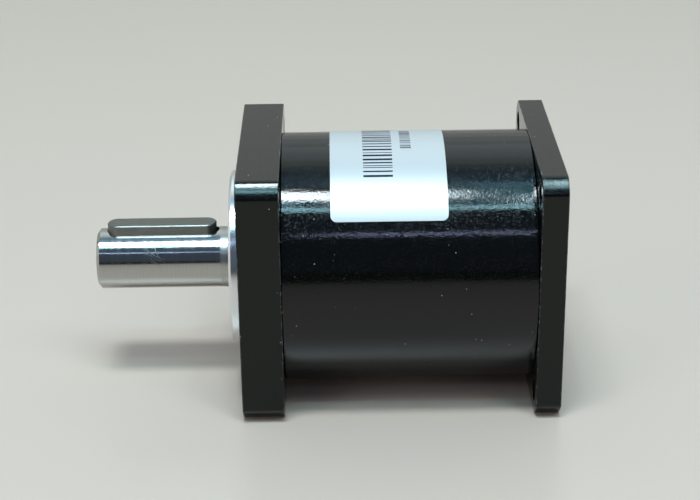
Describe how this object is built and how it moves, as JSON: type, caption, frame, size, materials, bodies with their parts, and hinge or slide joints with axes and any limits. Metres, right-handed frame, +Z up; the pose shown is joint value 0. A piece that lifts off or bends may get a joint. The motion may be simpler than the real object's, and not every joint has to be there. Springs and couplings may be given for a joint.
{
  "type": "planetary inline gear reducer",
  "caption": "Inline planetary gear reducer with square end flanges, a round housing, a keyed output shaft and a clamped motor-shaft socket.",
  "frame": {"origin": "where the shaft axis meets the front mounting face, at the centre of the front bolt square", "axes": "-X out along the output shaft, +X towards the motor side, +Z up with the key on top, -Y towards the front of the picture"},
  "size_m": [0.1045, 0.057, 0.0571],
  "materials": {
    "black_coating": "smooth gloss black coating",
    "ground_steel": "ground bright steel",
    "gear_steel": "cut and ground gear steel, oiled",
    "bearing_steel": "polished bearing steel",
    "black_oxide": "black oxide steel",
    "bronze": "sintered bronze",
    "seal_rubber": "matt black rubber",
    "label_film": "white label film"
  },
  "bodies": {
    "housing": {"gear_housing": "black_coating", "front_flange": "black_coating", "rear_flange": "black_coating", "front_screws": "black_oxide", "rear_screws": "black_oxide", "front_o_ring": "seal_rubber", "rear_o_ring": "seal_rubber", "output_seal": "seal_rubber", "seal_spring": "ground_steel", "front_bearing_outer_ring": "bearing_steel", "front_bearing_shields": "bearing_steel", "rear_bearing_outer_ring": "bearing_steel", "rear_bearing_shields": "bearing_steel", "input_bearing_outer_ring": "bearing_steel", "input_bearing_shields": "bearing_steel", "thrust_disc": "bronze", "access_plug": "black_oxide", "label": "label_film"},
    "output": {"output_shaft": "ground_steel", "output_key": "ground_steel", "shaft_circlip": "black_oxide", "front_bearing_inner_ring": "bearing_steel", "rear_bearing_inner_ring": "bearing_steel", "output_planet_pins": "gear_steel", "output_thrust_washers": "bronze", "thrust_pad": "bronze"},
    "first_carrier_set": {"first_carrier": "ground_steel", "output_sun": "gear_steel", "first_planet_pins": "gear_steel", "first_thrust_washers": "bronze"},
    "input": {"input_shaft": "ground_steel", "clamp_collar": "ground_steel", "clamp_screw": "black_oxide", "input_bearing_inner_ring": "bearing_steel"},
    "output_planet_1_set": {"output_planet_1": "gear_steel", "output_bush_1": "bronze"},
    "output_planet_2_set": {"output_planet_2": "gear_steel", "output_bush_2": "bronze"},
    "output_planet_3_set": {"output_planet_3": "gear_steel", "output_bush_3": "bronze"},
    "first_planet_1_set": {"first_planet_1": "gear_steel", "first_bush_1": "bronze"},
    "first_planet_2_set": {"first_planet_2": "gear_steel", "first_bush_2": "bronze"},
    "first_planet_3_set": {"first_planet_3": "gear_steel", "first_bush_3": "bronze"},
    "front_bearing_ball_set": {"front_bearing_balls": "bearing_steel", "front_bearing_cage": "bearing_steel"},
    "rear_bearing_ball_set": {"rear_bearing_balls": "bearing_steel", "rear_bearing_cage": "bearing_steel"},
    "input_bearing_ball_set": {"input_bearing_balls": "bearing_steel", "input_bearing_cage": "bearing_steel"}
  },
  "joints": [
    {"name": "output_spin", "type": "hinge", "parent": "housing", "child": "output", "pos_m": [0, 0, 0], "axis": [1, 0, 0], "continuous": true},
    {"name": "first_carrier_spin", "type": "hinge", "parent": "housing", "child": "first_carrier_set", "pos_m": [0.038, 0, 0], "axis": [1, 0, 0], "continuous": true},
    {"name": "input_spin", "type": "hinge", "parent": "housing", "child": "input", "pos_m": [0.059, 0, 0], "axis": [1, 0, 0], "continuous": true},
    {"name": "output_planet_1_spin", "type": "hinge", "parent": "output", "child": "output_planet_1_set", "pos_m": [0.028, 0.0135, 0], "axis": [1, 0, 0], "continuous": true},
    {"name": "output_planet_2_spin", "type": "hinge", "parent": "output", "child": "output_planet_2_set", "pos_m": [0.028, -0.00675, 0.01169], "axis": [1, 0, 0], "continuous": true},
    {"name": "output_planet_3_spin", "type": "hinge", "parent": "output", "child": "output_planet_3_set", "pos_m": [0.028, -0.00675, -0.01169], "axis": [1, 0, 0], "continuous": true},
    {"name": "first_planet_1_spin", "type": "hinge", "parent": "first_carrier_set", "child": "first_planet_1_set", "pos_m": [0.0433, -0.0135, 0], "axis": [1, 0, 0], "continuous": true},
    {"name": "first_planet_2_spin", "type": "hinge", "parent": "first_carrier_set", "child": "first_planet_2_set", "pos_m": [0.0433, 0.00675, -0.01169], "axis": [1, 0, 0], "continuous": true},
    {"name": "first_planet_3_spin", "type": "hinge", "parent": "first_carrier_set", "child": "first_planet_3_set", "pos_m": [0.0433, 0.00675, 0.01169], "axis": [1, 0, 0], "continuous": true},
    {"name": "front_bearing_balls_spin", "type": "hinge", "parent": "housing", "child": "front_bearing_ball_set", "pos_m": [0.0067, 0, 0], "axis": [1, 0, 0], "continuous": true},
    {"name": "rear_bearing_balls_spin", "type": "hinge", "parent": "housing", "child": "rear_bearing_ball_set", "pos_m": [0.0147, 0, 0], "axis": [1, 0, 0], "continuous": true},
    {"name": "input_bearing_balls_spin", "type": "hinge", "parent": "housing", "child": "input_bearing_ball_set", "pos_m": [0.053, 0, 0], "axis": [1, 0, 0], "continuous": true}
  ],
  "couplings": [
    {"joint": "first_carrier_spin", "follows": "output_spin", "ratio": 5},
    {"joint": "input_spin", "follows": "output_spin", "ratio": 25},
    {"joint": "output_planet_1_spin", "follows": "output_spin", "ratio": -2.6667},
    {"joint": "output_planet_2_spin", "follows": "output_spin", "ratio": -2.6667},
    {"joint": "output_planet_3_spin", "follows": "output_spin", "ratio": -2.6667},
    {"joint": "first_planet_1_spin", "follows": "output_spin", "ratio": -13.333},
    {"joint": "first_planet_2_spin", "follows": "output_spin", "ratio": -13.333},
    {"joint": "first_planet_3_spin", "follows": "output_spin", "ratio": -13.333},
    {"joint": "front_bearing_balls_spin", "follows": "output_spin", "ratio": 0.40791},
    {"joint": "rear_bearing_balls_spin", "follows": "output_spin", "ratio": 0.40791},
    {"joint": "input_bearing_balls_spin", "follows": "output_spin", "ratio": 10.817}
  ]
}
